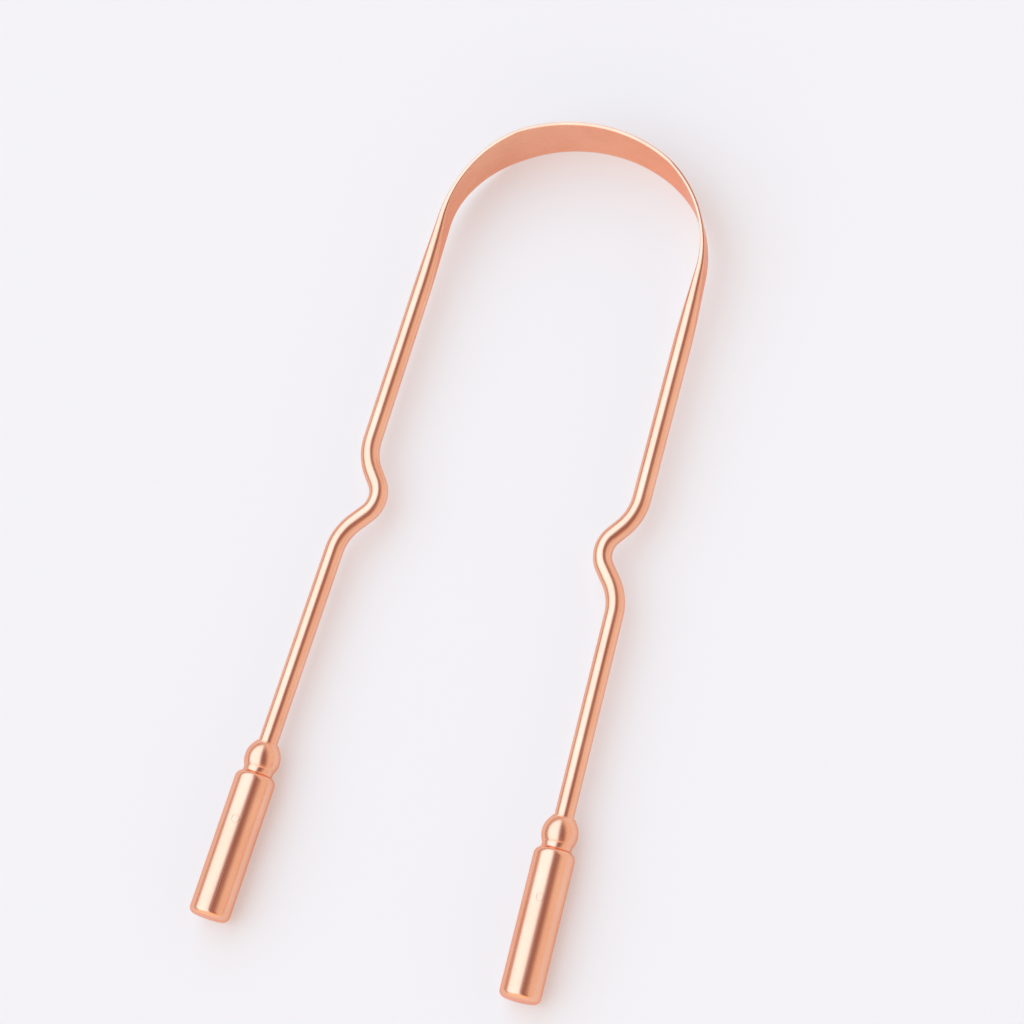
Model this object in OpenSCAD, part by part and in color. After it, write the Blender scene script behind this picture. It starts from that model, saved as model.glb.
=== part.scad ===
// Tongue scraper: one bent copper rod with two turned handles
// The bow lies level, its arch towards +Y, and stands on the lower edge of its scraping band

/* [Rod] */
// Diameter of the copper rod that the whole bow is bent from
rod_d = 3; // [2.4:0.1:4]
// Length of rod hidden in each handle, from the middle of the bead
tang_len = 17; // [13:0.5:20]

/* [Arch] */
// Radius of the flatter top of the arch, to the middle of the metal
arch_top_r = 25; // [22:0.5:34]
// Angle that the flatter top covers on each side of the middle
arch_top_angle = 25.5; // [10:0.5:40]
// Radius of the two sides of the arch, to the middle of the metal
arch_side_r = 19.3; // [15:0.1:21]

/* [Scraping band] */
// Width of the pressed band at the top of the arch
band_w = 10.2; // [7:0.1:13]
// Thickness of the pressed band
band_t = 0.6; // [0.4:0.05:1.2]
// Roundness of the band's two trimmed edges: 1 is a full round, less is flatter
edge_fullness = 0.4; // [0.2:0.05:1]
// Length along the arch on which the band keeps its full width
band_full_len = 28; // [10:1:40]
// Length before each end of the arch on which the band starts to thicken
press_lead = 7.5; // [2:0.5:12]
// Length on each arm on which the metal goes on thickening to the round rod
press_len = 13.5; // [6:0.5:25]

/* [Arms] */
// Straight length of each arm from the arch to its finger kink
upper_arm = 38.7; // [28:0.1:60]
// Straight length of each arm from its finger kink to the middle of the bead
lower_arm = 35.1; // [15:0.1:60]
// Angle by which each arm leans outwards above its finger kink
upper_splay = 1; // [0:0.1:4]
// Angle by which each arm leans outwards below its finger kink
lower_splay = 1.8; // [0:0.1:4]

/* [Finger kinks] */
// Angle of the kink's two flanks to the arm
kink_angle = 37.5; // [15:0.5:55]
// Radius of the inner bend of the kink, to the middle of the rod
kink_r = 4.4; // [3:0.1:8]
// Radius of the two bends that lead into the kink and out of it
kink_lead_r = 8.8; // [4:0.1:14]
// Straight length of the flank nearer to the arch
kink_upper_flank = 1.8; // [0.2:0.1:6]
// Straight length of the flank nearer to the handle
kink_lower_flank = 2.4; // [0.2:0.1:6]

/* [Handles] */
// Wall of the grip around the rod
grip_wall = 1.7; // [1:0.1:4]
// Length of the grip below the neck
grip_len = 23.4; // [20:0.1:40]
// Rounding at the upper end of the grip
grip_top_round = 1.3; // [0.3:0.1:1.5]
// Rounding at the lower end of the grip
grip_end_round = 1.1; // [0.2:0.1:1.5]
// Wall of the bead around the rod at its widest
bead_wall = 1.3; // [0.8:0.1:2]
// Radius of the bead's bulge along the rod: a larger one makes the bead longer
bulge_r = 3.5; // [2.8:0.1:5]
// Wall of the neck between bead and grip
neck_wall = 0.85; // [0.4:0.05:1]
// Distance from the middle of the bead to the top of the grip
neck_len = 2.4; // [2.1:0.1:4]
// Wall of the small collar where the rod enters the bead
collar_wall = 0.35; // [0.2:0.05:0.6]
// Height of the collar above the middle of the bead
collar_h = 2.6; // [2.2:0.1:3.2]

/* [Cross pins] */
// Diameter of the pin that holds each handle on the rod
pin_d = 1.2; // [0.8:0.1:1.5]
// Distance from the middle of the bead to the pin
pin_at = 10.4; // [7:0.1:11.5]

/* [Fits] */
// Gap around the rod in its bore
tang_gap = 0.03; // [0.02:0.01:0.1]
// Gap around the pin in its holes
pin_gap = 0.01; // [0.01:0.01:0.05]
// Air left at the bottom of the bore, past the end of the rod
bore_relief = 0.8; // [0.3:0.1:2]
// Width of the bevel at the mouth of the bore
mouth_bevel = 0.15; // [0.05:0.05:0.15]

/* [Hidden] */

copper = "#d98f6c";
pin_copper = "#c98160";

// Cuts run this far past the face that they open
overrun = 1;
// Sides of a round thing
round_sides = 96;
// Corners of one cross-section of the formed metal
section_corners = 24;
// Cross-sections along half of the arch, and along one swelling
arch_steps = 26;
press_steps = 10;
// Angle between two cross-sections in the bends of a kink
bend_step = 6;
// Where a true round rod covers the formed metal, that metal thins by this much over this length
core_thinning = 0.05;
core_lead = 0.6;
// Softness with which the band starts to narrow: 1 starts at once, more starts gently
outline_softness = 1.15;

rod_r = rod_d / 2;
grip_r = rod_r + grip_wall;
bead_r = rod_r + bead_wall;
neck_r = rod_r + neck_wall;
collar_r = rod_r + collar_wall;
bore_r = rod_r + tang_gap;
pin_r = pin_d / 2;
grip_end = neck_len + grip_len;

// Lengths along the middle of the metal, from the middle of the arch
top_len = arch_top_r * arch_top_angle * PI / 180;
side_angle = 90 - arch_top_angle - upper_splay;
side_len = arch_side_r * side_angle * PI / 180;
arch_len = top_len + side_len;
narrow_from = band_full_len / 2;
thick_from = arch_len - press_lead;
round_from = arch_len + press_len;

// A place on the path is [x, y, lean]: the lean is the angle outwards from -Y
function on_arch(s) =
    s <= top_len
    ? let (a = s / arch_top_r * 180 / PI)
      [arch_top_r * sin(a), arch_top_r * (cos(a) - 1), 90 - a]
    : let (a = arch_top_angle + (s - top_len) / arch_side_r * 180 / PI, dr = arch_top_r - arch_side_r)
      [
          dr * sin(arch_top_angle) + arch_side_r * sin(a),
          dr * cos(arch_top_angle) + arch_side_r * cos(a) - arch_top_r,
          90 - a
      ];
function straight(p, len) = [p[0] + len * sin(p[2]), p[1] - len * cos(p[2]), p[2]];
function outward(p, r, a) =
    [p[0] + r * (cos(p[2]) - cos(p[2] + a)), p[1] + r * (sin(p[2]) - sin(p[2] + a)), p[2] + a];
function inward(p, r, a) =
    [p[0] - r * (cos(p[2]) - cos(p[2] - a)), p[1] - r * (sin(p[2]) - sin(p[2] - a)), p[2] - a];
function on_path(s) = s <= arch_len ? on_arch(s) : straight(on_arch(arch_len), s - arch_len);

// The right arm, from the end of the arch to the end of the handle
arch_end = on_arch(arch_len);
press_end = straight(arch_end, press_len);
kink_start = straight(arch_end, upper_arm);
kink_top_lead = inward(kink_start, kink_lead_r, kink_angle);
kink_top_flank = straight(kink_top_lead, kink_upper_flank);
kink_bend = outward(kink_top_flank, kink_r, 2 * kink_angle);
kink_low_flank = straight(kink_bend, kink_lower_flank);
low_lead_angle = kink_angle + upper_splay - lower_splay;
kink_end = inward(kink_low_flank, kink_lead_r, low_lead_angle);
bead_at = straight(kink_end, lower_arm);
end_ring = straight(bead_at, grip_end - grip_end_round);

// The model is centred on its length and stands on the lower edge of the band
back_y = end_ring[1] - (grip_r - grip_end_round) * sin(lower_splay) - grip_end_round;
front_y = band_t / 2;
shift_y = -(front_y + back_y) / 2;
mid_z = band_w / 2;

// Thickness, width and height of a rounded edge, at a length s from the middle of the arch
function share(s, from) = min(max((s - from) / (round_from - from), 0), 1);
function smooth(u) = u * u * (3 - 2 * u);
function metal_t(s) = band_t + (rod_d - band_t) * smooth(share(s, thick_from));
function metal_w(s) =
    let (u = pow(share(s, narrow_from), outline_softness))
    band_w - (band_w - rod_d) * sin(90 * u);
function edge_h(s) =
    let (u = smooth(share(s, thick_from)))
    metal_t(s) / 2 * (edge_fullness + (1 - edge_fullness) * u);

// The formed metal's cross-sections, from the arch to the lower arm:
// each is [place, thickness, width, height of a rounded edge]
function steps(a) = ceil(a / bend_step);
function pressed_at(s) = [on_path(s), metal_t(s), metal_w(s), edge_h(s)];
function round_at(p) = [p, rod_d, rod_d, rod_r];
function core_at(p) = let (d = rod_d - 2 * core_thinning) [p, d, d, d / 2];
formed = concat(
    [for (i = [1 : arch_steps]) pressed_at(arch_len * i / arch_steps)],
    [for (i = [1 : press_steps]) pressed_at(arch_len + press_len * i / press_steps)],
    [core_at(straight(press_end, core_lead)), core_at(straight(kink_start, -core_lead))],
    [
        for (n = steps(kink_angle), i = [0 : n])
        round_at(inward(kink_start, kink_lead_r, kink_angle * i / n))
    ],
    [
        for (n = steps(2 * kink_angle), i = [0 : n])
        round_at(outward(kink_top_flank, kink_r, 2 * kink_angle * i / n))
    ],
    [
        for (n = steps(low_lead_angle), i = [0 : n])
        round_at(inward(kink_low_flank, kink_lead_r, low_lead_angle * i / n))
    ],
    [core_at(straight(kink_end, core_lead))]
);

// Corners of one cross-section: flat faces, and rounded edges as wide as the metal is thick
function corners(section, side) =
    let (p = section[0], t = section[1], w = section[2], edge = section[3])
    [
        for (i = [0 : section_corners - 1])
        let (
            a = (i + 0.5) * 360 / section_corners,
            out = t / 2 * cos(a),
            up = edge * sin(a) + sign(sin(a)) * (w / 2 - edge)
        )
        [side * (p[0] + out * cos(p[2])), p[1] + out * sin(p[2]), up]
    ];

module copper_finish() {
    color(copper)
    children();
}

// Everything is drawn around the middle plane of the bow, then lifted onto the floor
module in_place() {
    translate([0, shift_y, mid_z])
    children();
}

module both_sides() {
    children();
    mirror([1, 0, 0])
    children();
}

// The formed metal from one lower arm to the other: kinks, swellings and scraping band in one sweep
module formed_metal() {
    left = [for (i = [len(formed) - 1 : -1 : 0]) corners(formed[i], -1)];
    middle = [corners(pressed_at(0), 1)];
    right = [for (section = formed) corners(section, 1)];
    rings = concat(left, middle, right);
    n = section_corners;
    last = len(rings) - 1;
    points = [for (ring = rings) each ring];
    walls = [
        for (r = [0 : last - 1], i = [0 : n - 1])
        let (j = (i + 1) % n, a = r * n + i, b = r * n + j, c = (r + 1) * n + j, d = (r + 1) * n + i)
        each [[a, c, b], [a, d, c]]
    ];
    caps = [[for (i = [0 : n - 1]) i], [for (i = [n - 1 : -1 : 0]) last * n + i]];
    polyhedron(points, concat(walls, caps));
}

// Local +Z runs along the path, away from the arch
module at_place(p) {
    translate([p[0], p[1], 0])
    rotate([90, 0, p[2]])
    children();
}

module rod_length(p, len) {
    at_place(p)
    cylinder(h = len, r = rod_r, $fn = round_sides);
}

module pin_hole() {
    at_place(bead_at)
    translate([0, 0, pin_at])
    rotate([90, 0, 0])
    cylinder(h = 2 * (grip_r + overrun), r = pin_r + pin_gap, center = true, $fn = round_sides);
}

// The straight lengths of one arm are true round rod
module straight_rods() {
    lead = core_lead / 2;
    rod_length(straight(press_end, lead), upper_arm - press_len - 2 * lead);
    difference() {
        rod_length(straight(kink_end, lead), lower_arm + tang_len - lead);
        pin_hole();
    }
}

module bow() {
    copper_finish()
    in_place() {
        formed_metal();
        both_sides()
        straight_rods();
    }
}

// Half outline of a handle, with its axis along Y and the middle of the bead at the origin
module handle_outline() {
    intersection() {
        translate([bead_r - bulge_r, 0])
        circle(r = bulge_r, $fn = round_sides);
        translate([0, -collar_h])
        square([bead_r, collar_h + neck_len]);
    }
    translate([0, -collar_h])
    square([collar_r, collar_h]);
    square([neck_r, neck_len + grip_top_round]);
    translate([0, neck_len])
    square([grip_r - grip_top_round, grip_len]);
    translate([0, neck_len])
    square([grip_r - grip_end_round, grip_len]);
    translate([0, neck_len + grip_top_round])
    square([grip_r, grip_len - grip_top_round - grip_end_round]);
    translate([grip_r - grip_top_round, neck_len + grip_top_round])
    circle(r = grip_top_round, $fn = round_sides);
    translate([grip_r - grip_end_round, grip_end - grip_end_round])
    circle(r = grip_end_round, $fn = round_sides);
}

module right_side_handle() {
    difference() {
        at_place(bead_at)
        difference() {
            rotate_extrude($fn = round_sides)
            handle_outline();
            translate([0, 0, -collar_h - overrun])
            cylinder(h = collar_h + overrun + tang_len + bore_relief, r = bore_r, $fn = round_sides);
            translate([0, 0, -collar_h])
            cylinder(h = mouth_bevel, r1 = bore_r + mouth_bevel, r2 = bore_r, $fn = round_sides);
        }
        pin_hole();
    }
}

module right_side_pin() {
    at_place(bead_at)
    intersection() {
        translate([0, 0, pin_at])
        rotate([90, 0, 0])
        cylinder(h = 2 * (grip_r + overrun), r = pin_r, center = true, $fn = round_sides);
        translate([0, 0, neck_len])
        cylinder(h = grip_len, r = grip_r, $fn = round_sides);
    }
}

module right_handle() {
    copper_finish()
    in_place()
    right_side_handle();
}

module left_handle() {
    copper_finish()
    in_place()
    mirror([1, 0, 0])
    right_side_handle();
}

module right_pin() {
    color(pin_copper)
    in_place()
    right_side_pin();
}

module left_pin() {
    color(pin_copper)
    in_place()
    mirror([1, 0, 0])
    right_side_pin();
}

bow();
left_handle();
right_handle();
left_pin();
right_pin();
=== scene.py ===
# %% [markdown]
# # A copper tongue scraper
#
# This lesson dresses a small hand tool: one copper rod, pressed flat in its middle and bent to a
# U, with a turned copper grip on each end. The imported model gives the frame, with every size.
# Here the visible pieces are made again with smoother curves, and get their metal, floor and light.

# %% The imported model
import math

import bmesh
import bpy
from mathutils import Matrix, Vector


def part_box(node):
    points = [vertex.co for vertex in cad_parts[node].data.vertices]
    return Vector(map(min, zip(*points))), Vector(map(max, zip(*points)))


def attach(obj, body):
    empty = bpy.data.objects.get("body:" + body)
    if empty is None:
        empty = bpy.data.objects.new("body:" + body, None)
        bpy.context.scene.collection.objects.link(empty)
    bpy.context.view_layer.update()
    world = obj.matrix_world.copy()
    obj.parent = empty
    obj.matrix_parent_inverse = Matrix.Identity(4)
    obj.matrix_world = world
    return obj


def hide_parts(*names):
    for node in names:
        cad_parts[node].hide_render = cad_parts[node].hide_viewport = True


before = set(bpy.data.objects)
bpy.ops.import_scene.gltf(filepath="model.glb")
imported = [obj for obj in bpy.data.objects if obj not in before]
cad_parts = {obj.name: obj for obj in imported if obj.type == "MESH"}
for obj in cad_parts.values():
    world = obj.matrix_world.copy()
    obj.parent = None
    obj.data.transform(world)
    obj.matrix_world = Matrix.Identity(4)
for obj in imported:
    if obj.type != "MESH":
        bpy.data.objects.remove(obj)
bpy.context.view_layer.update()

print("Nodes of the frame:", sorted(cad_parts))

# %% [markdown]
# ## Units and small helpers
#
# All sizes are written in millimetres, as on a drawing, and turned to Blender's metres in one
# place. An operator works on whatever is selected, so each new piece starts with nothing selected.

# %% Units and selection helpers
MM = 0.001
UP = Vector((0, 0, 1))
DOUBLES_MM = 0.0005


def start_clean():
    """Leave edit mode and deselect everything."""
    if bpy.context.object and bpy.context.object.mode != "OBJECT":
        bpy.ops.object.mode_set(mode="OBJECT")
    bpy.ops.object.select_all(action="DESELECT")


def name_piece(name):
    """Name the active object and bake its place into its mesh."""
    piece = bpy.context.object
    piece.name = name
    piece.data.name = name
    bpy.ops.object.transform_apply(location=True, rotation=True, scale=True)
    return piece


def edit(piece, mode="VERT"):
    """Open a piece in edit mode with all of it selected."""
    start_clean()
    bpy.context.view_layer.objects.active = piece
    piece.select_set(True)
    bpy.ops.object.mode_set(mode="EDIT")
    bpy.ops.mesh.select_mode(type=mode)
    bpy.ops.mesh.select_all(action="SELECT")


def picked_points(piece):
    """The places of the vertices that are selected in edit mode."""
    mesh = bmesh.from_edit_mesh(piece.data)
    return [v.co.copy() for v in mesh.verts if v.select]


def pick(piece, keep):
    """Select the vertices for which keep(place) is true."""
    mesh = bmesh.from_edit_mesh(piece.data)
    for v in mesh.verts:
        v.select_set(keep(v.co))
    mesh.select_flush_mode()
    bmesh.update_edit_mesh(piece.data)


def volume_of(piece):
    """Volume of a closed mesh, negative if its faces point inwards."""
    mesh = bmesh.new()
    mesh.from_mesh(piece.data)
    volume = mesh.calc_volume(signed=True) / MM ** 3
    mesh.free()
    return volume


def finish_mesh(piece):
    """Merge doubles, point the faces outwards and leave edit mode."""
    edit(piece)
    bpy.ops.mesh.remove_doubles(threshold=DOUBLES_MM * MM)
    bpy.ops.mesh.normals_make_consistent(inside=False)
    bpy.ops.object.mode_set(mode="OBJECT")
    if volume_of(piece) < 0:
        edit(piece)
        bpy.ops.mesh.flip_normals()
        bpy.ops.object.mode_set(mode="OBJECT")
    print(piece.name, "has", len(piece.data.polygons), "faces,", round(volume_of(piece), 1), "mm3")


print("One metre is", round(1 / MM), "mm")

# %% [markdown]
# ## Sizes of the scraper
#
# These are the sizes of the part's source, which gives the radii of a handle as walls around the
# rod. The middle of the metal follows a path of straight lines and arcs. A place on it is a point
# and a lean: the angle in degrees that the path makes with the tool's length, outwards. The path
# is worked out for the right arm alone.

# %% Sizes, in millimetres and degrees
ROD_D = 3.0
TANG_LEN = 17.0
ARCH_TOP_R, ARCH_TOP_ANGLE, ARCH_SIDE_R = 25.0, 25.5, 19.3
BAND_W, BAND_T, BAND_FULL_LEN = 10.2, 0.6, 28.0
PRESS_LEAD, PRESS_LEN = 7.5, 13.5
UPPER_ARM, LOWER_ARM = 38.7, 35.1
UPPER_SPLAY, LOWER_SPLAY = 1.0, 1.8
KINK_ANGLE, KINK_R, KINK_LEAD_R = 37.5, 4.4, 8.8
KINK_UPPER_FLANK, KINK_LOWER_FLANK = 1.8, 2.4
GRIP_R, GRIP_LEN, GRIP_TOP_ROUND, GRIP_END_ROUND = 3.2, 23.4, 1.3, 1.1
BEAD_R, BULGE_R, NECK_R, NECK_LEN = 2.8, 3.5, 2.35, 2.4
COLLAR_R, COLLAR_H = 1.85, 2.6
PIN_D, PIN_AT, PIN_GAP = 1.2, 10.4, 0.01
TANG_GAP, BORE_RELIEF, MOUTH_BEVEL = 0.03, 0.8, 0.15
OUTLINE_SOFTNESS, EDGE_FULLNESS = 1.15, 0.4

ROD_R = ROD_D / 2
GRIP_END = NECK_LEN + GRIP_LEN
TOP_LEN = ARCH_TOP_R * math.radians(ARCH_TOP_ANGLE)
SIDE_LEN = ARCH_SIDE_R * math.radians(90 - ARCH_TOP_ANGLE - UPPER_SPLAY)
ARCH_LEN = TOP_LEN + SIDE_LEN


# %% The path of the right arm
def sin_of(angle):
    return math.sin(math.radians(angle))


def cos_of(angle):
    return math.cos(math.radians(angle))


def on_arch(s):
    """The place at a length s from the middle of the arch."""
    if s <= TOP_LEN:
        a = math.degrees(s / ARCH_TOP_R)
        return (ARCH_TOP_R * sin_of(a), ARCH_TOP_R * (cos_of(a) - 1), 90 - a)
    a = ARCH_TOP_ANGLE + math.degrees((s - TOP_LEN) / ARCH_SIDE_R)
    d = ARCH_TOP_R - ARCH_SIDE_R
    x = d * sin_of(ARCH_TOP_ANGLE) + ARCH_SIDE_R * sin_of(a)
    y = d * cos_of(ARCH_TOP_ANGLE) + ARCH_SIDE_R * cos_of(a) - ARCH_TOP_R
    return (x, y, 90 - a)


def straight(place, length):
    x, y, lean = place
    return (x + length * sin_of(lean), y - length * cos_of(lean), lean)


def centre_of(place, radius):
    """The middle of a bend: outwards of the place for a positive radius."""
    x, y, lean = place
    return (x + radius * cos_of(lean), y + radius * sin_of(lean))


def bend(place, radius, angle):
    """The place after a bend: outwards for a positive angle, inwards for a negative one."""
    side = math.copysign(radius, angle)
    cx, cy = centre_of(place, side)
    lean = place[2] + angle
    return (cx - side * cos_of(lean), cy - side * sin_of(lean), lean)


ARCH_END = on_arch(ARCH_LEN)
PRESS_END = straight(ARCH_END, PRESS_LEN)
KINK_START = straight(ARCH_END, UPPER_ARM)
KINK_TOP_LEAD = bend(KINK_START, KINK_LEAD_R, -KINK_ANGLE)
KINK_TOP_FLANK = straight(KINK_TOP_LEAD, KINK_UPPER_FLANK)
KINK_BEND = bend(KINK_TOP_FLANK, KINK_R, 2 * KINK_ANGLE)
KINK_LOW_FLANK = straight(KINK_BEND, KINK_LOWER_FLANK)
LOW_LEAD_ANGLE = KINK_ANGLE + UPPER_SPLAY - LOWER_SPLAY
KINK_END = bend(KINK_LOW_FLANK, KINK_LEAD_R, -LOW_LEAD_ANGLE)
BEAD_AT = straight(KINK_END, LOWER_ARM)

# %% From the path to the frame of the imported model
end_ring = straight(BEAD_AT, GRIP_END - GRIP_END_ROUND)
back_y = end_ring[1] - (GRIP_R - GRIP_END_ROUND) * sin_of(LOWER_SPLAY) - GRIP_END_ROUND
SHIFT_Y = -(BAND_T / 2 + back_y) / 2
MID_Z = BAND_W / 2


def point(place):
    """The middle of the metal at a place, in the frame and in metres."""
    return Vector((place[0], place[1] + SHIFT_Y, MID_Z)) * MM


def along(place):
    """The direction of the path at a place, away from the arch."""
    return Vector((sin_of(place[2]), -cos_of(place[2]), 0))


cad_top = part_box("bow")[1]
print("Arch reaches", round(point(on_arch(0)).y / MM, 2), "mm; CAD bow ends at", round(cad_top.y / MM, 2))

# %% [markdown]
# ## The camera
#
# The photograph was taken from above, across the flat tool, with a long lens. Its place is given
# here as a photographer would: where it aims, from which side and height, how far away it stands,
# and how far it is rolled. It was found by matching the outlines of rod and grips. A long lens
# keeps the two arms almost parallel in the picture.

# %% Camera
LENS_MM, SENSOR_MM, NEAREST_MM = 100, 36, 10
CAMERA_AZIMUTH, CAMERA_ELEVATION, CAMERA_ROLL = -47.833, 69.708, -27.666
CAMERA_DISTANCE = 447.37
CAMERA_AIM = Vector((2.962, 4.131, 5.1))

ray = Vector((
    cos_of(CAMERA_ELEVATION) * cos_of(CAMERA_AZIMUTH),
    cos_of(CAMERA_ELEVATION) * sin_of(CAMERA_AZIMUTH),
    sin_of(CAMERA_ELEVATION),
))
camera_data = bpy.data.cameras.new("photo_camera")
camera = bpy.data.objects.new("photo_camera", camera_data)
bpy.context.scene.collection.objects.link(camera)
camera_data.sensor_width = SENSOR_MM
camera_data.lens = LENS_MM
camera_data.clip_start = NEAREST_MM * MM
camera.location = (CAMERA_AIM + ray * CAMERA_DISTANCE) * MM
level = (-ray).to_track_quat("-Z", "Y").to_matrix()
roll = Matrix.Rotation(math.radians(CAMERA_ROLL), 3, "Z")
camera.rotation_euler = (level @ roll).to_euler()
bpy.context.scene.camera = camera
print("Camera at", [round(c / MM) for c in camera.location], "mm")

# %% [markdown]
# ## The bow
#
# On the real tool one rod makes the whole bow. Its middle is pressed to a thin band and trimmed,
# the band is bent to an arch, and each arm gets a kink for a finger. A curve with a bevel could
# draw the rod but not the press, so the right half is drawn as a smith would feed it: a ring of
# points is extruded along each straight, spun around each bend, and squeezed flat step by step
# towards the middle of the arch. Then a Mirror modifier makes the left half.
#
# Without a window, Blender's rotate and spin turn clockwise for a positive angle, so rotate gets its
# angle with the sign changed. The bends are spun backwards, from their far ends, which changes the
# sign once more, so spin gets the angle as it is.

# %% A ring of points, and the moves that draw it on
RING_CORNERS, SIDE_CUTS = 48, 2
TANG_CHAMFER = 0.2
LOWER_CUTS, UPPER_CUTS, FLANK_CUTS = 12, 8, 2
LEAD_STEPS, BEND_STEPS = 14, 28


def draw_straight(length, place, cuts=1):
    """Extrude the selected ring towards the arch, in equal lengths."""
    step = -along(place) * length * MM / cuts
    for _ in range(cuts):
        bpy.ops.mesh.extrude_region_move(TRANSFORM_OT_translate={"value": step})


def draw_bend(place, radius, angle, steps):
    """Spin the selected ring back around a bend that starts at the place."""
    cx, cy = centre_of(place, math.copysign(radius, angle))
    bpy.ops.mesh.spin(steps=steps, angle=math.radians(angle), center=point((cx, cy, 0)), axis=UP)


def squeeze(factor, centre, upright=None):
    """Resize the selected ring, by another factor in height if one is given."""
    bpy.ops.transform.resize(value=(factor, factor, upright or factor), center_override=centre)


# %% The round part of the right arm, from the tang to the swelling
start_clean()
tang_end = straight(BEAD_AT, TANG_LEN)
half_step = math.radians(180 / RING_CORNERS)
bpy.ops.mesh.primitive_circle_add(
    vertices=RING_CORNERS,
    radius=(ROD_R - TANG_CHAMFER) * MM,
    fill_type="NOTHING",
    location=point(tang_end),
    rotation=(math.radians(90), -half_step, math.radians(tang_end[2])),
)
bow = name_piece("copper_bow")
edit(bow)
corner_height = (ROD_R - TANG_CHAMFER) * math.sin(half_step)
next_height = (ROD_R - TANG_CHAMFER) * math.sin(3 * half_step)
side_height = (corner_height + next_height) / 2 * MM
pick(bow, lambda co: abs(co.z - MID_Z * MM) < side_height)
bpy.ops.mesh.subdivide(number_cuts=SIDE_CUTS)
bpy.ops.mesh.select_all(action="SELECT")
draw_straight(TANG_CHAMFER, tang_end)
squeeze(ROD_R / (ROD_R - TANG_CHAMFER), point(straight(tang_end, -TANG_CHAMFER)))
draw_straight(TANG_LEN + LOWER_ARM - TANG_CHAMFER, tang_end, cuts=LOWER_CUTS)
print("Ring of", len(picked_points(bow)), "points")

# %% The finger kink
draw_bend(KINK_LOW_FLANK, KINK_LEAD_R, -LOW_LEAD_ANGLE, LEAD_STEPS)
draw_straight(KINK_LOWER_FLANK, KINK_LOW_FLANK, cuts=FLANK_CUTS)
draw_bend(KINK_TOP_FLANK, KINK_R, 2 * KINK_ANGLE, BEND_STEPS)
draw_straight(KINK_UPPER_FLANK, KINK_TOP_FLANK, cuts=FLANK_CUTS)
draw_bend(KINK_START, KINK_LEAD_R, -KINK_ANGLE, LEAD_STEPS)
draw_straight(UPPER_ARM - PRESS_LEN, KINK_START, cuts=UPPER_CUTS)
ring = picked_points(bow)
middle = sum(ring, Vector()) / len(ring)
print("The ring is", round((middle - point(PRESS_END)).length / MM, 5), "mm off its place")

# %% [markdown]
# ### The pressed part
#
# From the rod to the band the metal gets thinner and wider, and the arch bends it. Each step
# extrudes the ring, turns it, squeezes it to the new thickness and then moves its upper and lower
# halves apart to the new width. The two points that were cut into each side edge of the ring move
# with the halves, so the flat faces stay flat right up to the rounded edges and shade cleanly.
# The band's edges are trimmed, so they are flatter than the rod is round: that is what lets them
# catch the light over their whole thickness.

# %% Thickness, width and edges of the metal along the arch
PRESS_STEPS, ARCH_STEPS = 40, 96


def share(s, start):
    """From 0 to 1 as s goes from the start to where the rod is round."""
    return min(max((s - start) / (ARCH_LEN + PRESS_LEN - start), 0), 1)


def metal_size(s):
    """Thickness, width and height of a rounded edge, at a length s from the middle of the arch."""
    u = share(s, ARCH_LEN - PRESS_LEAD)
    roundness = u * u * (3 - 2 * u)
    thick = BAND_T + (ROD_D - BAND_T) * roundness
    narrowing = share(s, BAND_FULL_LEN / 2) ** OUTLINE_SOFTNESS
    wide = BAND_W - (BAND_W - ROD_D) * sin_of(90 * narrowing)
    return thick, wide, thick / 2 * (EDGE_FULLNESS + (1 - EDGE_FULLNESS) * roundness)


def on_path(s):
    return on_arch(s) if s <= ARCH_LEN else straight(ARCH_END, s - ARCH_LEN)


# %% Press and bend the rod, step by step
def spread_halves(piece, distance):
    """Move the upper half of the selected ring up, and its lower half down."""
    mesh = bmesh.from_edit_mesh(piece.data)
    ring = [v for v in mesh.verts if v.select]
    middle = sum(v.co.z for v in ring) / len(ring)
    for side in (1, -1):
        for v in ring:
            v.select_set((v.co.z - middle) * side > 0)
        mesh.select_flush_mode()
        bpy.ops.transform.translate(value=(0, 0, side * distance))
    for v in ring:
        v.select_set(True)
    mesh.select_flush_mode()


def press_to(piece, s_from, s_to):
    """Draw the ring on by one step of the pressed part."""
    here, there = on_path(s_from), on_path(s_to)
    thick, wide, edge = metal_size(s_from)
    new_thick, new_wide, new_edge = metal_size(s_to)
    step = point(there) - point(here)
    bpy.ops.mesh.extrude_region_move(TRANSFORM_OT_translate={"value": step})
    turn = math.radians(there[2] - here[2])
    bpy.ops.transform.rotate(value=-turn, orient_axis="Z", center_override=point(there))
    squeeze(new_thick / thick, point(there), new_edge / edge)
    spread_halves(piece, (new_wide / 2 - new_edge - (wide / 2 - edge) * new_edge / edge) * MM)


stops = [ARCH_LEN + PRESS_LEN * (1 - i / PRESS_STEPS) for i in range(PRESS_STEPS)]
stops += [ARCH_LEN * (1 - i / ARCH_STEPS) for i in range(ARCH_STEPS + 1)]
for s_from, s_to in zip(stops, stops[1:]):
    press_to(bow, s_from, s_to)
bpy.ops.transform.resize(value=(0, 1, 1), center_override=(0, 0, 0))
last = picked_points(bow)
tall = max(p.z for p in last) - min(p.z for p in last)
print("The band is", round(tall / MM, 3), "mm wide at the middle of the arch")

# %% [markdown]
# ### A straightened copy of the coordinates
#
# A rod is drawn through a die while it is straight, and the fine lines that the die leaves bend
# with it. So the material needs to know where each point was before the bending. The rings were
# made one after the other, each with the same count of points, so the place of a ring along the
# rod is the distance covered so far. It is stored with the mesh as an attribute: across, up, along.

# %% Store where each point lies on the straight rod
RING_POINTS = RING_CORNERS + 2 * SIDE_CUTS


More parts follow.
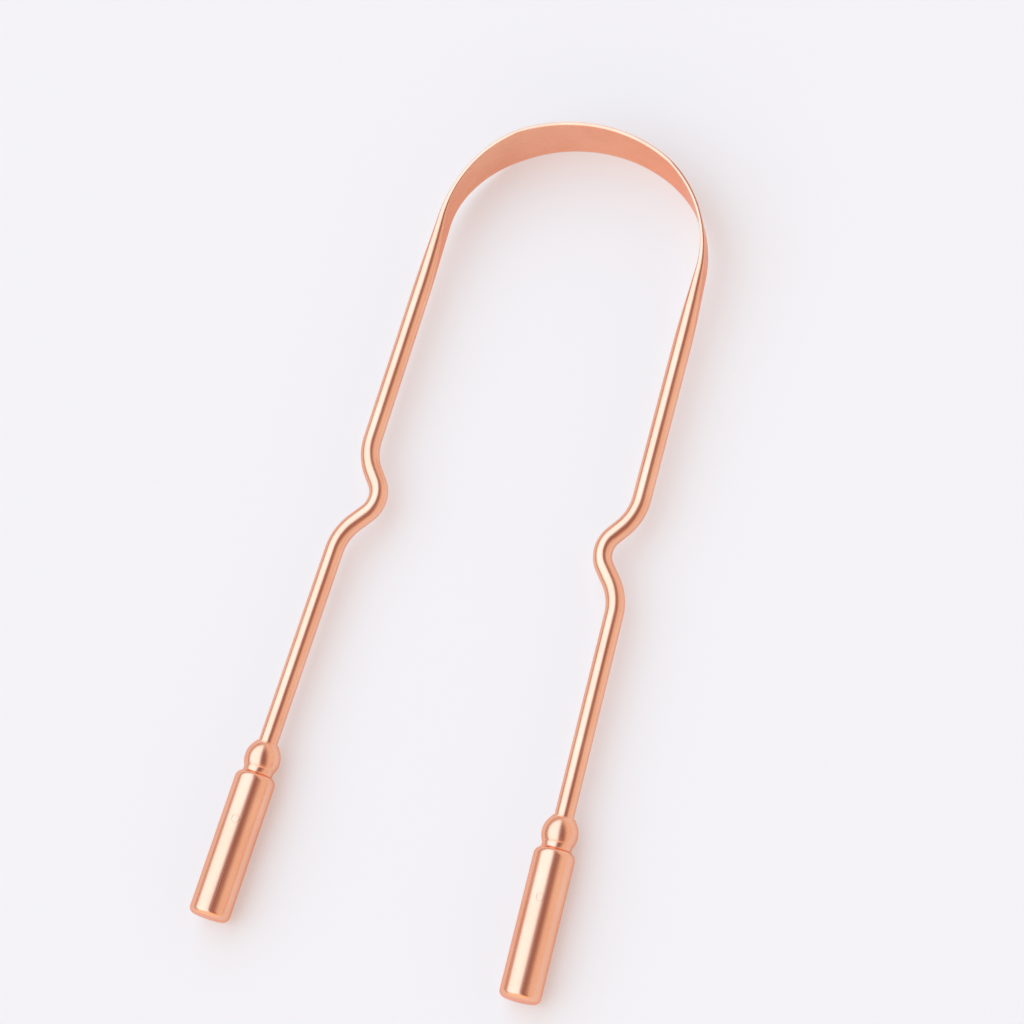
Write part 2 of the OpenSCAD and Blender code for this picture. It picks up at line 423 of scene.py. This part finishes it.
def store_straightened(piece):
    mesh = piece.data
    mesh.validate()
    rings = len(mesh.vertices) // RING_POINTS
    places, before, covered = [], None, 0.0
    for r in range(rings):
        ring = [mesh.vertices[r * RING_POINTS + i].co for i in range(RING_POINTS)]
        middle = sum(ring, Vector()) / RING_POINTS
        covered += (middle - before).length if before else 0.0
        before = middle
        for co in ring:
            off = co - middle
            across = math.copysign(math.hypot(off.x, off.y), off.x + off.y)
            places += [across, off.z, covered]
    layer = mesh.attributes.new("straightened", "FLOAT_VECTOR", "POINT")
    layer.data.foreach_set("vector", places)
    print(rings, "rings over", round(covered / MM, 1), "mm of rod")


# %% Mirror the half, close its ends and smooth it
SMOOTH_ANGLE = math.radians(35)
SEAM_MM = 0.002


def apply_modifier(piece, kind, **settings):
    """Add a modifier with its settings and apply it."""
    start_clean()
    bpy.context.view_layer.objects.active = piece
    piece.select_set(True)
    modifier = piece.modifiers.new(kind.lower(), kind)
    for key, value in settings.items():
        setattr(modifier, key, value)
    bpy.ops.object.modifier_apply(modifier=modifier.name)


def shade(piece):
    """Shade smooth, but keep edges sharper than SMOOTH_ANGLE."""
    start_clean()
    bpy.context.view_layer.objects.active = piece
    piece.select_set(True)
    bpy.ops.object.shade_smooth_by_angle(angle=SMOOTH_ANGLE)


bpy.ops.object.mode_set(mode="OBJECT")
store_straightened(bow)
apply_modifier(bow, "MIRROR", merge_threshold=SEAM_MM * MM)
edit(bow)
bpy.ops.mesh.select_all(action="DESELECT")
bpy.ops.mesh.select_non_manifold(
    extend=False, use_wire=False, use_multi_face=False, use_non_contiguous=False, use_verts=False
)
bpy.ops.mesh.fill_holes(sides=0)
finish_mesh(bow)
shade(bow)

# %% [markdown]
# ## The turned handles
#
# Bead, neck and grip are one piece turned on a lathe, with a blind bore for the end of the rod.
# Blender's spin works like a lathe: half of the outline is drawn as a chain of points and spun
# around the axis. Every corner of the outline gets its small round, as the polished metal has,
# and bead and grip run into the neck in hollow rounds.

# %% The outline of a handle, as (length along the axis, radius)
NECK_FILLET, SHOULDER_FILLET, COLLAR_ROUND = 0.5, 0.4, 0.12
LATHE_STEPS, SIDE_PARTS = 128, 8
ROUND_STEPS, FILLET_STEPS, BULGE_STEPS = 12, 5, 40
COLLAR_STEPS, LIP_STEPS = 4, 5


def arc(centre, radius, start, end, steps):
    """Points on an arc of the outline; angles in degrees, 0 along the axis, 90 outwards."""
    angles = [start + (end - start) * i / steps for i in range(steps + 1)]
    return [(centre[0] + radius * cos_of(a), centre[1] + radius * sin_of(a)) for a in angles]


def hollow(centre, radius, fillet, wall, way):
    """The middle of a hollow round from an arc to a wall, and the arc's angle where they meet."""
    rise = wall + fillet - centre[1]
    reach = way * math.sqrt((radius + fillet) ** 2 - rise ** 2)
    return (centre[0] + reach, wall + fillet), math.degrees(math.atan2(rise, reach))


bore_r, bore_end = ROD_R + TANG_GAP, TANG_LEN + BORE_RELIEF
end_face_r, top_face_r = GRIP_R - GRIP_END_ROUND, GRIP_R - GRIP_TOP_ROUND
side_end, side_top = GRIP_END - GRIP_END_ROUND, NECK_LEN + GRIP_TOP_ROUND
lip = COLLAR_H - COLLAR_ROUND
bulge, shoulder = (0, BEAD_R - BULGE_R), (side_top, top_face_r)
above_neck, neck_angle = hollow(bulge, BULGE_R, NECK_FILLET, NECK_R, 1)
below_neck, shoulder_angle = hollow(shoulder, GRIP_TOP_ROUND, SHOULDER_FILLET, NECK_R, -1)
at_collar, collar_angle = hollow(bulge, BULGE_R, COLLAR_ROUND, COLLAR_R, -1)

outline = [(GRIP_END, 0), (GRIP_END, end_face_r / 2)]
outline += arc((side_end, end_face_r), GRIP_END_ROUND, 0, 90, ROUND_STEPS)
outline += [(side_end + (side_top - side_end) * i / SIDE_PARTS, GRIP_R) for i in range(1, SIDE_PARTS)]
outline += arc(shoulder, GRIP_TOP_ROUND, 90, shoulder_angle, ROUND_STEPS)
outline += arc(below_neck, SHOULDER_FILLET, shoulder_angle - 180, -90, FILLET_STEPS)[1:]
outline += arc(above_neck, NECK_FILLET, -90, neck_angle - 180, FILLET_STEPS)
outline += arc(bulge, BULGE_R, neck_angle, collar_angle, BULGE_STEPS)[1:]
outline += arc(at_collar, COLLAR_ROUND, collar_angle - 180, -90, COLLAR_STEPS)[1:]
outline += arc((-lip, COLLAR_R - COLLAR_ROUND), COLLAR_ROUND, 90, 180, LIP_STEPS)
outline += [(-COLLAR_H, bore_r + MOUTH_BEVEL), (-COLLAR_H + MOUTH_BEVEL, bore_r)]
outline += [(bore_end, bore_r), (bore_end, 0)]
print("Outline of", len(outline), "points; the neck lies", round(below_neck[0], 2), "mm below the bead")

# %% Draw the outline and turn it
axis = along(BEAD_AT)
outwards = UP.cross(axis)


def on_outline(s, r):
    return point(BEAD_AT) + (axis * s + outwards * r) * MM


start_clean()
bpy.ops.mesh.primitive_plane_add(size=MM, location=on_outline(*outline[0]))
right_handle = name_piece("right_turned_handle")
edit(right_handle)
bpy.ops.mesh.merge(type="CENTER")
for before, after in zip(outline, outline[1:]):
    step = on_outline(*after) - on_outline(*before)
    bpy.ops.mesh.extrude_region_move(TRANSFORM_OT_translate={"value": step})
bpy.ops.mesh.select_all(action="SELECT")
bpy.ops.mesh.spin(steps=LATHE_STEPS, angle=2 * math.pi, center=point(BEAD_AT), axis=axis)
finish_mesh(right_handle)

# %% [markdown]
# ### The cross pins
#
# A thin pin goes through each grip and its rod and is filed flush, so all that shows of it is a
# faint ring. The hole is cut with a Boolean modifier, and both rims get a bevel of a few
# hundredths of a millimetre, because that hair of shadow is what the eye finds on the real one.

# %% Drill the handle, and make its pin
RIM_BEVEL, RIM_CUTS = 0.026, 2
DRILL_OVERRUN = 1.0
PIN_SIDES = 64
ON_EDGE_MM, ON_SIDE_MM = 0.004, 0.01
SIDE_TILT = math.radians(4)
pin_at = point(straight(BEAD_AT, PIN_AT))


def rod_between(name, radius, half_length, centre, direction, sides):
    """A plain round bar, used as a drill or as stock for a pin."""
    start_clean()
    turn = direction.to_track_quat("Z", "Y").to_euler()
    bpy.ops.mesh.primitive_cylinder_add(
        vertices=sides, radius=radius * MM, depth=2 * half_length * MM,
        end_fill_type="NGON", location=centre, rotation=turn,
    )
    return name_piece(name)


def cut_with(piece, tool, operation):
    """Apply a Boolean modifier and throw the tool away."""
    apply_modifier(piece, "BOOLEAN", object=tool, operation=operation, solver="EXACT")
    bpy.data.objects.remove(tool)


def bevel_rims(piece, radius, width):
    """Bevel the two rims where a round of this radius about the pin's axis meets the grip."""
    edit(piece, "EDGE")
    mesh = bmesh.from_edit_mesh(piece.data)

    def on_rim(v):
        flat = Vector((v.co.x - pin_at.x, v.co.y - pin_at.y)).length
        away = v.co - pin_at
        from_axis = (away - axis * away.dot(axis)).length
        return abs(flat - radius * MM) < ON_EDGE_MM * MM and from_axis > (GRIP_R - ON_SIDE_MM) * MM

    for e in mesh.edges:
        e.select_set(e.calc_length() < radius * MM and all(on_rim(v) for v in e.verts))
    mesh.select_flush_mode()
    bmesh.update_edit_mesh(piece.data)
    found = sum(e.select for e in mesh.edges)
    bpy.ops.mesh.bevel(offset=width * MM, segments=RIM_CUTS, affect="EDGES")
    bpy.ops.object.mode_set(mode="OBJECT")
    print(piece.name, "has", found, "rim edges")


drill = rod_between("drill", PIN_D / 2 + PIN_GAP, GRIP_R + DRILL_OVERRUN, pin_at, UP, PIN_SIDES)
cut_with(right_handle, drill, "DIFFERENCE")
bevel_rims(right_handle, PIN_D / 2 + PIN_GAP, RIM_BEVEL)
right_pin = rod_between("right_cross_pin", PIN_D / 2, GRIP_R + DRILL_OVERRUN, pin_at, UP, PIN_SIDES)
grip_round = rod_between("grip_round", GRIP_R, GRIP_R, pin_at, axis, LATHE_STEPS)
cut_with(right_pin, grip_round, "INTERSECT")
bevel_rims(right_pin, PIN_D / 2, RIM_BEVEL)


# %% Shade what the drill has cut as one round
def exact_round_normals(piece, side=1):
    """Shade the drilled grip and the pin's ends as one true round, so reflections run on unbroken."""
    mesh = piece.data
    flip = Vector((side, 1, 1))
    normals = [corner.vector.copy() for corner in mesh.corner_normals]
    for face in mesh.polygons:
        for loop in face.loop_indices:
            away = mesh.vertices[mesh.loops[loop].vertex_index].co * flip - pin_at
            outward = (away - axis * away.dot(axis)) * flip
            on_side = abs(outward.length - GRIP_R * MM) < ON_SIDE_MM * MM
            if on_side and face.normal.angle(outward) < SIDE_TILT:
                normals[loop] = outward.normalized()
    mesh.normals_split_custom_set(normals)


for piece in (right_handle, right_pin):
    shade(piece)
    exact_round_normals(piece)
print("Shaded as one round:", right_handle.name, "and", right_pin.name)

# %% [markdown]
# ### The left side, and straightened coordinates again
#
# The left handle and pin are true mirror images, so they are copied and turned over. Then all four
# turned pieces store their own straightened coordinates, so their fine lines run along the axis.

# %% Mirrored copies for the left side
def mirrored_copy(piece, name):
    """A copy with its own mesh, mirrored across the tool."""
    start_clean()
    bpy.context.view_layer.objects.active = piece
    piece.select_set(True)
    bpy.ops.object.duplicate(linked=False)
    copy = bpy.context.object
    copy.scale = (-1, 1, 1)
    copy = name_piece(name)
    finish_mesh(copy)
    shade(copy)
    exact_round_normals(copy, -1)
    return copy


left_handle = mirrored_copy(right_handle, "left_turned_handle")
left_pin = mirrored_copy(right_pin, "left_cross_pin")
print("Pieces:", [p.name for p in (bow, left_handle, right_handle, left_pin, right_pin)])

# %% Straightened coordinates of the turned pieces
def store_turned(piece, side):
    """Across, up and along the axis of a handle, for a piece on the right (1) or left (-1)."""
    spots = []
    for v in piece.data.vertices:
        off = Vector((v.co.x * side, v.co.y, v.co.z)) - point(BEAD_AT)
        spots += [off.dot(outwards), off.z, off.dot(axis)]
    layer = piece.data.attributes.new("straightened", "FLOAT_VECTOR", "POINT")
    layer.data.foreach_set("vector", spots)


for piece, side in ((right_handle, 1), (right_pin, 1), (left_handle, -1), (left_pin, -1)):
    store_turned(piece, side)
    print(piece.name, "has straightened coordinates at", len(piece.data.vertices), "points")

# %% [markdown]
# ## Copper
#
# Copper is a metal, so all its colour comes from its reflections: white light comes back salmon,
# and a bright lamp comes back cream. The base colour is copper's own, as a hex value that one
# function turns to the linear numbers that a shader wants. The surface is satin, tumbled bright
# after drawing and turning. Fine lines along the metal soften each reflection, broad shallow dents
# let its edges waver, and the tone drifts a little where fingers and air have touched it.

# %% Colour and node helpers
def to_linear(hex_colour):
    """An sRGB hex value as linear red, green, blue and alpha."""
    parts = [int(hex_colour[i:i + 2], 16) / 255 for i in (1, 3, 5)]
    return [c / 12.92 if c <= 0.04045 else ((c + 0.055) / 1.055) ** 2.4 for c in parts] + [1.0]


def add_node(tree, kind, values=None, links=None, **settings):
    """Add a node, set its sockets and properties, and link its inputs to other nodes' outputs."""
    node = tree.nodes.new(kind)
    for key, value in settings.items():
        setattr(node, key, value)
    for key, value in (values or {}).items():
        node.inputs[key].default_value = value
    for key, output in (links or {}).items():
        tree.links.new(output, node.inputs[key])
    return node


def new_material(name):
    """An empty node material and its tree."""
    material = bpy.data.materials.new(name)
    material.use_nodes = True
    material.node_tree.nodes.clear()
    return material, material.node_tree


print("The hex value #808080 is", round(to_linear("#808080")[0], 3), "in linear light")

# %% Satin copper: its tone and its fine lines
COPPER_DEEP, COPPER_PALE = "#f5bb9e", "#f9c4a8"
TONE_PATCH_MM, TONE_DETAIL, TONE_STOPS = 9.0, 3.0, (0.35, 0.65)
LINE_LENGTH_MM, LINE_WIDTH_MM = 14.0, 0.16
LINE_LOW, LINE_HIGH, LINE_DETAIL, LINE_HARDNESS = 0.3, 0.7, 4.0, 0.6
ROUGH_LOW, ROUGH_HIGH = 0.2, 0.3

satin_copper, tree = new_material("satin_copper")
place = add_node(tree, "ShaderNodeAttribute", attribute_name="straightened")
patches = add_node(tree, "ShaderNodeTexNoise",
                   {"Scale": 1 / (TONE_PATCH_MM * MM), "Detail": TONE_DETAIL},
                   {"Vector": place.outputs["Vector"]})
tone = add_node(tree, "ShaderNodeValToRGB", links={"Fac": patches.outputs["Fac"]})
for stop, position, colour in zip(tone.color_ramp.elements, TONE_STOPS, (COPPER_DEEP, COPPER_PALE)):
    stop.position, stop.color = position, to_linear(colour)
line_scale = tuple(1 / (size * MM) for size in (LINE_WIDTH_MM, LINE_WIDTH_MM, LINE_LENGTH_MM))
stretched = add_node(tree, "ShaderNodeMapping", {"Scale": line_scale},
                     {"Vector": place.outputs["Vector"]})
lines = add_node(tree, "ShaderNodeTexNoise",
                 {"Scale": 1.0, "Detail": LINE_DETAIL, "Roughness": LINE_HARDNESS},
                 {"Vector": stretched.outputs["Vector"]})
sheen = add_node(tree, "ShaderNodeMapRange",
                 {"From Min": LINE_LOW, "From Max": LINE_HIGH, "To Min": ROUGH_LOW, "To Max": ROUGH_HIGH},
                 {"Value": lines.outputs["Fac"]})
print("Fine lines of", LINE_WIDTH_MM, "by", LINE_LENGTH_MM, "mm, roughness", ROUGH_LOW, "to", ROUGH_HIGH)

# %% Satin copper: its relief and its metal
COPPER_EDGE = "#ffd3c3"
LINE_DEPTH_MM = 0.0006
DENT_DEPTH_MM, DENT_SIZE_MM, DENT_DETAIL = 0.004, 3.0, 1.0

dents = add_node(tree, "ShaderNodeTexNoise",
                 {"Scale": 1 / (DENT_SIZE_MM * MM), "Detail": DENT_DETAIL},
                 {"Vector": place.outputs["Vector"]})
dented = add_node(tree, "ShaderNodeBump", {"Distance": DENT_DEPTH_MM * MM},
                  {"Height": dents.outputs["Fac"]})
lined = add_node(tree, "ShaderNodeBump", {"Distance": LINE_DEPTH_MM * MM},
                 {"Height": lines.outputs["Fac"], "Normal": dented.outputs["Normal"]})
metal = add_node(tree, "ShaderNodeBsdfPrincipled",
                 {"Metallic": 1.0, "Specular Tint": to_linear(COPPER_EDGE)},
                 {"Base Color": tone.outputs["Color"], "Roughness": sheen.outputs["Result"],
                  "Normal": lined.outputs["Normal"]})
add_node(tree, "ShaderNodeOutputMaterial", links={"Surface": metal.outputs["BSDF"]})
print(satin_copper.name, "has", len(tree.nodes), "nodes")

# %% [markdown]
# ### Each piece in its place
#
# The tool has no joints, so every piece rides on the frame's one body. Each takes the place of a
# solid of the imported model, and names the slot that its metal has in the record.

# %% Dress the pieces and hang them on the frame
dressing = (
    (bow, "bow", "copper"),
    (left_handle, "left_handle", "copper"),
    (right_handle, "right_handle", "copper"),
    (left_pin, "left_pin", "pin_copper"),
    (right_pin, "right_pin", "pin_copper"),
)
for piece, node, record_slot in dressing:
    piece.data.materials.clear()
    piece.data.materials.append(satin_copper)
    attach(piece, "root")
    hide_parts(node)
print("Dressed", len(dressing), "pieces")

# %% [markdown]
# ## Floor and light
#
# The tool lies on a plain pale floor. Its band is wider than its grips are thick, so it rests on
# the band's edge and on the ends of its grips, and the floor is tipped by less than a degree to
# meet all three. Part of what the floor shows is a painted glow of its own, even all over, which
# keeps the shadows pale. It shows its upper side alone, so a level camera still sees the tool.
#
# The light is a studio's, as wide soft areas in the world: a bright cool panel on the left, a
# warmer and softer fill on the right, a darker gap between them overhead, which draws the dark
# line down rod and grip, and a warm light in front, which rounds off the ends of bead and grip.
# These values are light, not paint, so they are linear and may be above 1.

# %% The floor
FLOOR_SIZE_MM, FLOOR_GAP_MM, FLOOR_ROUGHNESS = 6000, 0.02, 0.7
FLOOR_HEX, GLOW_HEX, GLOW_SHARE = "#f8f1ee", "#f5f3f6", 0.35
touch_y = point(on_path(BAND_FULL_LEN / 2)).y / MM
grip_y, grip_z = -on_outline(side_end, 0).y / MM, MID_Z - GRIP_R
tip = math.atan2(grip_z, touch_y + grip_y)
start_clean()
bpy.ops.mesh.primitive_plane_add(
    size=FLOOR_SIZE_MM * MM, location=(0, touch_y * MM, -FLOOR_GAP_MM * MM), rotation=(-tip, 0, 0)
)
floor = name_piece("floor")
floor_paint, tree = new_material("pale_floor")
paint = add_node(tree, "ShaderNodeBsdfPrincipled",
                 {"Base Color": to_linear(FLOOR_HEX), "Roughness": FLOOR_ROUGHNESS})
# The glow is painted light: an even emission mixed into the floor's paint so that its shadows stay pale.
glow = add_node(tree, "ShaderNodeEmission", {"Color": to_linear(GLOW_HEX), "Strength": 1.0})
paint_with_painted_glow = add_node(tree, "ShaderNodeMixShader", {0: GLOW_SHARE},
                 {1: paint.outputs["BSDF"], 2: glow.outputs["Emission"]})
clear = add_node(tree, "ShaderNodeBsdfTransparent")
seen_side = add_node(tree, "ShaderNodeNewGeometry")
one_sided = add_node(tree, "ShaderNodeMixShader", links={0: seen_side.outputs["Backfacing"],
                     1: paint_with_painted_glow.outputs["Shader"], 2: clear.outputs["BSDF"]})
add_node(tree, "ShaderNodeOutputMaterial", links={"Surface": one_sided.outputs["Shader"]})
floor.data.materials.append(floor_paint)
print("The floor is tipped by", round(math.degrees(tip), 2), "degrees")

# %% The studio, as it shows in the metal
PANEL, FILL = (1.35, 1.74, 2.05), (0.93, 0.78, 0.66)
FRONT = (1.25, 0.92, 0.67)
GAP, ROOM = (0.34, 0.17, 0.14), (0.6, 0.43, 0.36)
PANEL_LOW, FRONT_EDGE = (0.25, 0.47), (-0.8, -0.5)
GAP_LEFT = {"turn": 5.8, "lean": 3.5, "soft": 9}
GAP_RIGHT = {"turn": 24.2, "lean": 44.2, "soft": 14}


def beyond(tree, look, normal, low, high):
    """From 0 to 1 as a direction rises from low to high along the normal."""
    rise = add_node(tree, "ShaderNodeVectorMath", {1: normal}, {0: look}, operation="DOT_PRODUCT")
    fade = add_node(tree, "ShaderNodeMapRange", {"From Min": low, "From Max": high},
                    {"Value": rise.outputs["Value"]}, interpolation_type="SMOOTHSTEP")
    return fade.outputs["Result"]


def beyond_plane(tree, look, turn, lean, soft):
    """The same across an upright plane that is turned about the vertical and leans over."""
    normal = (cos_of(lean) * cos_of(turn), cos_of(lean) * sin_of(turn), -sin_of(lean))
    return beyond(tree, look, normal, -sin_of(soft), sin_of(soft))


def mixed(tree, factor, before, after):
    """Mix two colours, each given as a value or as another node's output."""
    values, links = {}, {0: factor}
    for socket, colour in ((6, before), (7, after)):
        if isinstance(colour, tuple):
            values[socket] = (*colour, 1)
        else:
            links[socket] = colour
    return add_node(tree, "ShaderNodeMix", values, links, data_type="RGBA").outputs[2]


def studio_world():
    world = bpy.data.worlds.new("studio")
    world.use_nodes = True
    tree = world.node_tree
    tree.nodes.clear()
    look = add_node(tree, "ShaderNodeTexCoord").outputs["Generated"]
    light = mixed(tree, beyond(tree, look, (0, 0, 1), *PANEL_LOW), ROOM, PANEL)
    light = mixed(tree, beyond_plane(tree, look, **GAP_LEFT), light, GAP)
    light = mixed(tree, beyond_plane(tree, look, **GAP_RIGHT), light, FILL)
    light = mixed(tree, beyond(tree, look, (0, 1, 0), *FRONT_EDGE), FRONT, light)
    lit = add_node(tree, "ShaderNodeBackground", {"Strength": 1.0}, {"Color": light})
    seen = add_node(tree, "ShaderNodeBackground", {"Color": to_linear(GLOW_HEX), "Strength": 1.0})
    ray_kind = add_node(tree, "ShaderNodeLightPath")
    both = add_node(tree, "ShaderNodeMixShader", links={0: ray_kind.outputs["Is Camera Ray"],
                    1: lit.outputs["Background"], 2: seen.outputs["Background"]})
    add_node(tree, "ShaderNodeOutputWorld", links={"Surface": both.outputs["Shader"]})
    return world


bpy.context.scene.world = studio_world()
bpy.context.scene.view_settings.view_transform = "Standard"
print("The studio has", len(bpy.context.scene.world.node_tree.nodes), "nodes")
